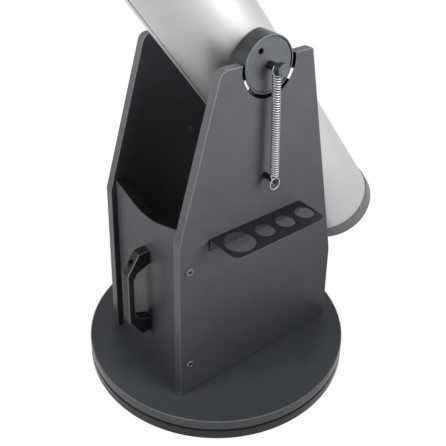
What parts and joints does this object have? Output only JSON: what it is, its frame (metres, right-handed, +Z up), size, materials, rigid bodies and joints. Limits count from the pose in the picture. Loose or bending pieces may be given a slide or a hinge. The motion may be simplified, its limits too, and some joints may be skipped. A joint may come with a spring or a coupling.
{
  "type": "dobsonian telescope",
  "caption": "Newtonian reflector tube cradled by side drums in a floor-standing rocker box that turns on a round ground board",
  "frame": {"origin": "on the floor, on the azimuth axis (centre of the round ground board)", "axes": "+Z up; +X out of the side panel that carries the eyepiece rack, along the altitude axis; -Y towards the front brace and handle, where the tube points up at rest"},
  "size_m": [0.4779, 0.8213, 1.2314],
  "materials": {
    "board_black": "satin melamine over particle board, slate",
    "panel_grey": "satin melamine over particle board, dark grey",
    "rubber_black": "matte",
    "zinc_steel": "bright zinc plate",
    "black_steel": "black oxide",
    "glide_white": "slippery polymer",
    "bush_nylon": "natural nylon",
    "moulded_black": "fine grain",
    "rack_paint": "satin powder coat",
    "spring_steel": "bright drawn wire",
    "tube_silver": "metallic silver lacquer",
    "ring_grey": "grey metallic lacquer on cast alloy",
    "bearing_grey": "satin moulded plastic",
    "cell_black": "black cast alloy",
    "anodised_black": "black anodised",
    "mirror_coat": "aluminised glass",
    "finder_glass": "coated lens"
  },
  "bodies": {
    "ground": {"ground_board": "board_black", "feet": "rubber_black", "foot_screws": "zinc_steel", "azimuth_pads": "glide_white", "azimuth_bolt": "zinc_steel", "azimuth_washers": "zinc_steel", "azimuth_nut": "zinc_steel"},
    "rocker": {"top_board": "board_black", "azimuth_bushing": "bush_nylon", "side_panel_right": "panel_grey", "side_panel_left": "panel_grey", "front_brace": "panel_grey", "base_screws": "zinc_steel", "assembly_bolts": "black_steel", "carry_handle": "moulded_black", "handle_screws": "black_steel", "eyepiece_rack": "rack_paint", "rack_screws": "zinc_steel", "altitude_pads": "glide_white", "spring_post_right": "moulded_black", "spring_post_left": "moulded_black", "post_screws": "zinc_steel", "tension_spring_right": "spring_steel", "tension_spring_left": "spring_steel", "pull_ring_right": "spring_steel", "pull_ring_left": "spring_steel"},
    "tube": {"optical_tube": "tube_silver", "front_ring": "ring_grey", "rear_ring": "ring_grey", "altitude_bearing_right": "bearing_grey", "altitude_bearing_left": "bearing_grey", "bearing_screws": "black_steel", "spring_studs": "zinc_steel", "spring_spacers": "moulded_black", "spider": "black_steel", "spider_nuts": "black_steel", "secondary_holder": "moulded_black", "secondary_mirror": "mirror_coat", "secondary_screws": "zinc_steel", "cell_base": "cell_black", "cell_screws": "zinc_steel", "collimation_bushes": "rubber_black", "focuser_body": "anodised_black", "finder_shoe": "anodised_black", "finder_bracket": "anodised_black", "finder_tube": "anodised_black", "finder_lens": "finder_glass"},
    "knob_right": {"tension_knob_right": "moulded_black"},
    "knob_left": {"tension_knob_left": "moulded_black"},
    "mirror": {"mirror_cell": "cell_black", "primary_mirror": "mirror_coat", "mirror_clips": "moulded_black"},
    "collimator_1": {"collimation_knob_1": "moulded_black"},
    "collimator_2": {"collimation_knob_2": "moulded_black"},
    "collimator_3": {"collimation_knob_3": "moulded_black"},
    "draw": {"drawtube": "anodised_black", "eyepiece": "anodised_black"},
    "focus_drive": {"focus_shaft": "zinc_steel", "focus_knobs": "moulded_black"},
    "lock": {"eyepiece_lock": "zinc_steel"}
  },
  "joints": [
    {"name": "azimuth", "type": "hinge", "parent": "ground", "child": "rocker", "pos_m": [0, 0, 0.0375], "axis": [0, 0, 1], "continuous": true},
    {"name": "altitude", "type": "hinge", "parent": "rocker", "child": "tube", "pos_m": [0, 0.006, 0.62], "axis": [1, 0, 0], "range_deg": [-36, 54]},
    {"name": "tension_right", "type": "hinge", "parent": "tube", "child": "knob_right", "pos_m": [0.1406, 0.006, 0.62], "axis": [1, 0, 0], "range_deg": [0, 360]},
    {"name": "tension_left", "type": "hinge", "parent": "tube", "child": "knob_left", "pos_m": [-0.1406, 0.006, 0.62], "axis": [-1, 0, 0], "range_deg": [0, 360]},
    {"name": "mirror_tilt", "type": "hinge", "parent": "tube", "child": "mirror", "pos_m": [0, 0.26857, 0.21437], "axis": [1, 0, 0], "range_deg": [-0.44, 0.44]},
    {"name": "collimate_1", "type": "hinge", "parent": "tube", "child": "collimator_1", "pos_m": [0, 0.3449, 0.24201], "axis": [0, -0.5878, 0.809], "range_deg": [-270, 270]},
    {"name": "collimate_2", "type": "hinge", "parent": "tube", "child": "collimator_2", "pos_m": [-0.04503, 0.2818, 0.19616], "axis": [0, -0.5878, 0.809], "range_deg": [-270, 270]},
    {"name": "collimate_3", "type": "hinge", "parent": "tube", "child": "collimator_3", "pos_m": [0.04503, 0.2818, 0.19616], "axis": [0, -0.5878, 0.809], "range_deg": [-270, 270]},
    {"name": "focus_slide", "type": "slide", "parent": "tube", "child": "draw", "axis": [0.766, 0.52, 0.3778], "range_m": [-0.016, 0.016]},
    {"name": "focus_turn", "type": "hinge", "parent": "tube", "child": "focus_drive", "pos_m": [0.08158, -0.25964, 1.10208], "axis": [-0.6428, 0.6197, 0.4503], "range_deg": [-200, 200]},
    {"name": "lock_turn", "type": "hinge", "parent": "draw", "child": "lock", "pos_m": [0.12448, -0.26804, 1.1749], "axis": [0, -0.5878, 0.809], "range_deg": [0, 360]}
  ],
  "couplings": [
    {"joint": "focus_turn", "follows": "focus_slide", "rad_per_m": 208.33},
    {"joint": "collimate_1", "follows": "mirror_tilt", "ratio": 612.61}
  ]
}
